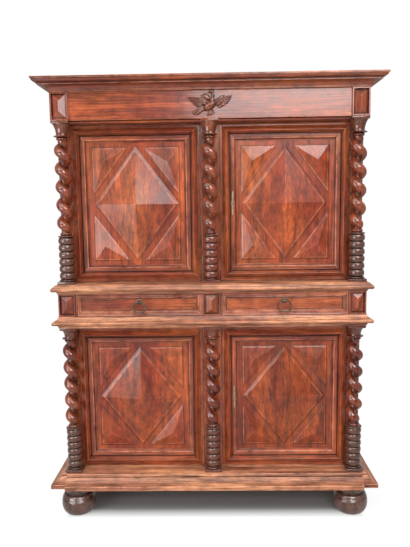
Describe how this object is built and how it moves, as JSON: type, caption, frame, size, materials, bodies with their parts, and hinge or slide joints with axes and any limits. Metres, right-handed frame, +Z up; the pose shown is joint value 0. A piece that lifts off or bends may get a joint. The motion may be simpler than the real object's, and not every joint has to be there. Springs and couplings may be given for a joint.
{
  "type": "two-body buffet cabinet",
  "caption": "Tall two-body walnut buffet with twisted columns, lozenge-panelled doors, a drawer row with ring pulls, moulded cornice and bun feet.",
  "frame": {"origin": "on the floor under the middle of the overall box", "axes": "+Z up, -Y out of the doors, +X to the right of someone facing the doors"},
  "size_m": [1.524, 0.6, 2],
  "materials": {
    "walnut": "polished, reddish brown",
    "panel_walnut": "polished, reddish brown, figured",
    "turned_walnut": "glossy, dark reddish brown",
    "carved_walnut": "waxed, rubbed on the high spots",
    "inner_oak": "plain, unpolished",
    "brass": "aged, pale",
    "bronze": "aged, dull",
    "iron": "dark, oiled"
  },
  "bodies": {
    "case": {"base_moulding_front": "walnut", "base_moulding_returns": "walnut", "carved_bird": "carved_walnut", "cornice": "walnut", "drawer_deck": "inner_oak", "drawer_row_blocks": "walnut", "drawer_row_sides": "walnut", "drawer_runners": "inner_oak", "frieze_blocks": "walnut", "frieze_board": "walnut", "frieze_soffit": "walnut", "front_feet": "turned_walnut", "lower_back": "inner_oak", "lower_bottom": "walnut", "lower_columns": "turned_walnut", "lower_face_frame": "walnut", "lower_shelf": "inner_oak", "lower_sides": "walnut", "lower_top": "inner_oak", "lower_waist_moulding": "walnut", "rear_feet": "inner_oak", "shelf_cleats": "inner_oak", "side_panels": "walnut", "top_board": "inner_oak", "upper_back": "inner_oak", "upper_bottom": "walnut", "upper_columns": "turned_walnut", "upper_face_frame": "walnut", "upper_shelf": "inner_oak", "upper_sides": "walnut", "upper_waist_moulding": "walnut"},
    "left_drawer": {"left_drawer_box": "inner_oak", "left_drawer_front": "walnut", "left_pull_plate": "bronze"},
    "left_pull_ring": {"left_pull_ring": "bronze"},
    "lower_left_door": {"lower_left_door_frame": "walnut", "lower_left_door_panel": "panel_walnut", "lower_left_door_pivots": "iron"},
    "lower_left_turn_button": {"lower_left_turn_button": "walnut"},
    "lower_right_door": {"lower_right_door_frame": "walnut", "lower_right_door_panel": "panel_walnut", "lower_right_door_pivots": "iron", "lower_right_escutcheon": "brass", "lower_right_lock_case": "iron"},
    "lower_right_lock_bolt": {"lower_right_lock_bolt": "iron"},
    "right_drawer": {"right_drawer_box": "inner_oak", "right_drawer_front": "walnut", "right_pull_plate": "bronze"},
    "right_pull_ring": {"right_pull_ring": "bronze"},
    "upper_left_door": {"upper_left_door_frame": "walnut", "upper_left_door_panel": "panel_walnut", "upper_left_door_pivots": "iron"},
    "upper_left_turn_button": {"upper_left_turn_button": "walnut"},
    "upper_right_door": {"upper_right_door_frame": "walnut", "upper_right_door_panel": "panel_walnut", "upper_right_door_pivots": "iron", "upper_right_escutcheon": "brass", "upper_right_lock_case": "iron"},
    "upper_right_lock_bolt": {"upper_right_lock_bolt": "iron"}
  },
  "joints": [
    {"name": "lower_left_door_swing", "type": "hinge", "parent": "case", "child": "lower_left_door", "pos_m": [-0.595, -0.152, 0], "axis": [0, 0, -1], "range_deg": [0, 90]},
    {"name": "lower_right_door_swing", "type": "hinge", "parent": "case", "child": "lower_right_door", "pos_m": [0.595, -0.152, 0], "axis": [0, 0, 1], "range_deg": [0, 90]},
    {"name": "lower_right_lock_slide", "type": "slide", "parent": "lower_right_door", "child": "lower_right_lock_bolt", "axis": [-1, 0, 0], "range_m": [0, 0.014]},
    {"name": "lower_left_button_turn", "type": "hinge", "parent": "lower_left_door", "child": "lower_left_turn_button", "pos_m": [-0.07, -0.13, 0.5405], "axis": [0, 1, 0], "range_deg": [0, 90]},
    {"name": "upper_left_door_swing", "type": "hinge", "parent": "case", "child": "upper_left_door", "pos_m": [-0.595, -0.152, 0], "axis": [0, 0, -1], "range_deg": [0, 90]},
    {"name": "upper_right_door_swing", "type": "hinge", "parent": "case", "child": "upper_right_door", "pos_m": [0.595, -0.152, 0], "axis": [0, 0, 1], "range_deg": [0, 90]},
    {"name": "upper_right_lock_slide", "type": "slide", "parent": "upper_right_door", "child": "upper_right_lock_bolt", "axis": [-1, 0, 0], "range_m": [0, 0.014]},
    {"name": "upper_left_button_turn", "type": "hinge", "parent": "upper_left_door", "child": "upper_left_turn_button", "pos_m": [-0.07, -0.13, 1.4545], "axis": [0, 1, 0], "range_deg": [0, 90]},
    {"name": "left_drawer_slide", "type": "slide", "parent": "case", "child": "left_drawer", "axis": [0, -1, 0], "range_m": [0, 0.36]},
    {"name": "left_ring_swing", "type": "hinge", "parent": "left_drawer", "child": "left_pull_ring", "pos_m": [-0.33, -0.244, 1.013], "axis": [-1, 0, 0], "range_deg": [0, 90]},
    {"name": "right_drawer_slide", "type": "slide", "parent": "case", "child": "right_drawer", "axis": [0, -1, 0], "range_m": [0, 0.36]},
    {"name": "right_ring_swing", "type": "hinge", "parent": "right_drawer", "child": "right_pull_ring", "pos_m": [0.33, -0.244, 1.013], "axis": [-1, 0, 0], "range_deg": [0, 90]}
  ]
}
